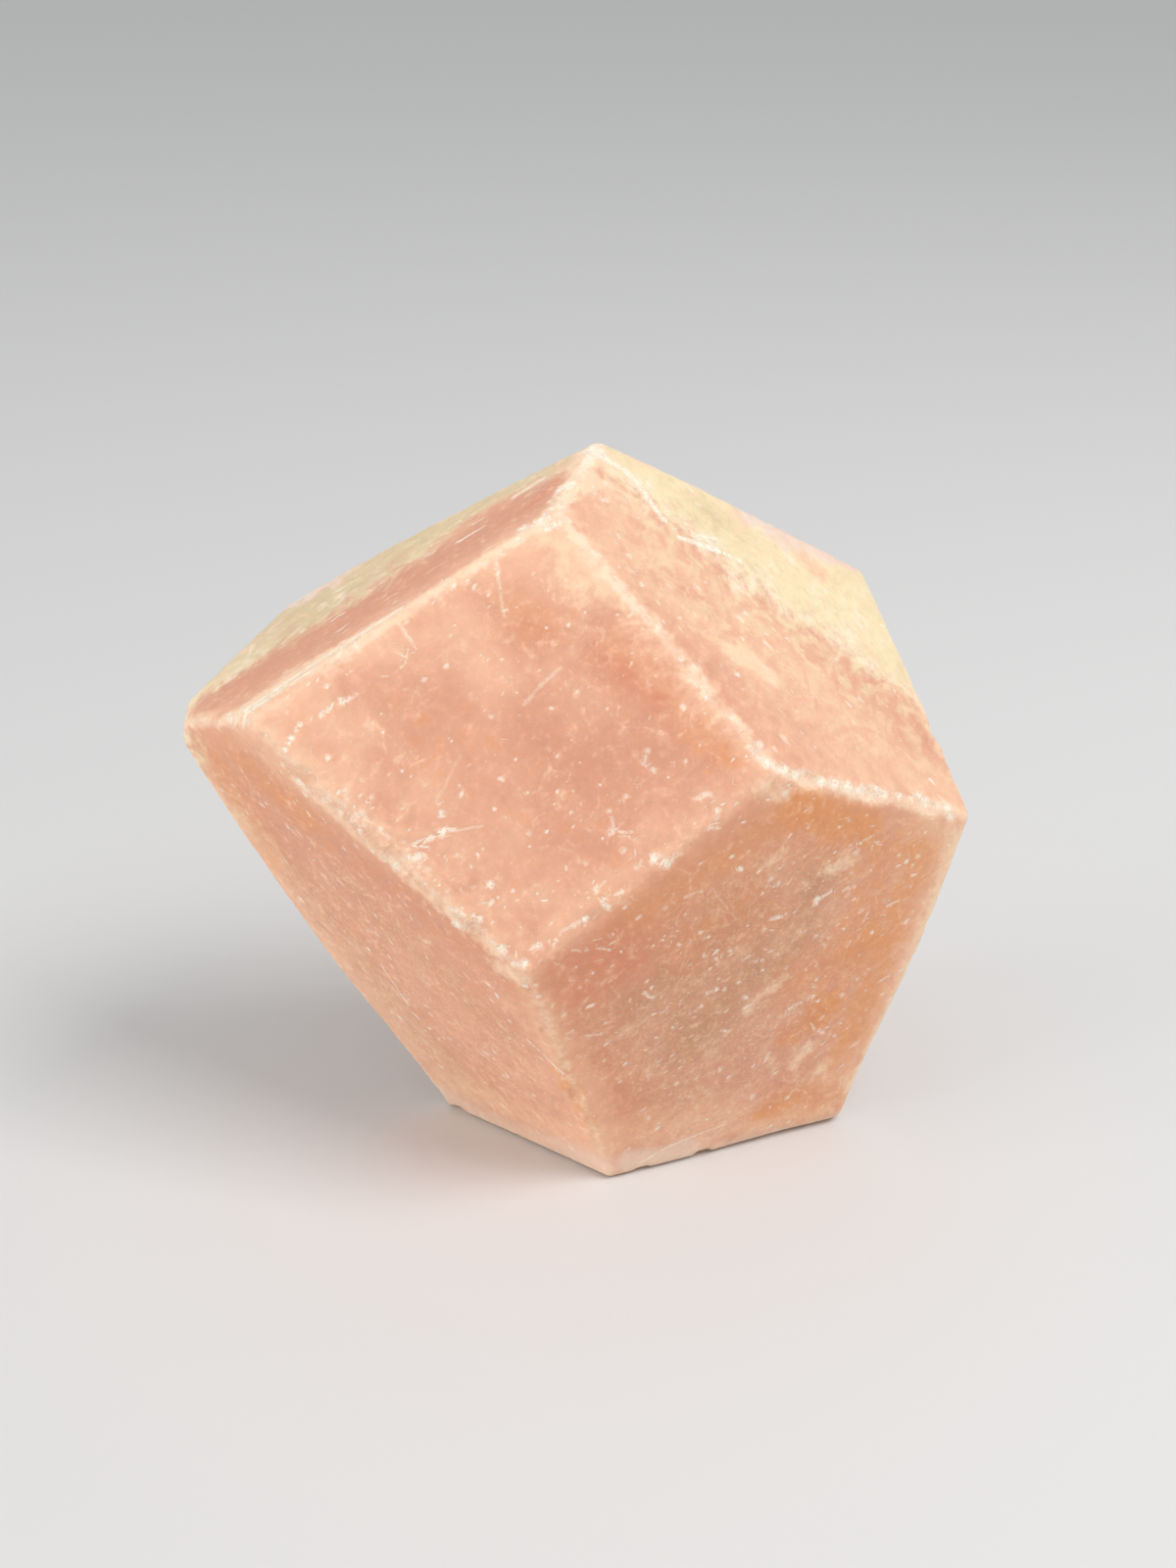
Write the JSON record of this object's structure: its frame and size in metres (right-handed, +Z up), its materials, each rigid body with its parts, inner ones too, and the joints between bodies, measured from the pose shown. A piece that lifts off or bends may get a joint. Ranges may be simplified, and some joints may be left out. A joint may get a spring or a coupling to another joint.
{
  "type": "opal freeform",
  "caption": "Pink opal freeform: one solid, hand-ground and softly polished stone with broad swelling facets, worn chipped edges and a flat foot to stand on.",
  "frame": {"origin": "on the level that the stone stands on, below the middle of its box", "axes": "+Z up, the broad front facet looks towards -Y, +X to the right as seen from the front"},
  "size_m": [0.071, 0.0424, 0.0641],
  "materials": {
    "pink_opal": "waxy satin polish over slightly translucent salmon-pink common opal, with a cream seam, pale worn edges, fine specks and scratches"
  },
  "bodies": {
    "root": {"opal_stone": "pink_opal"}
  },
  "joints": []
}
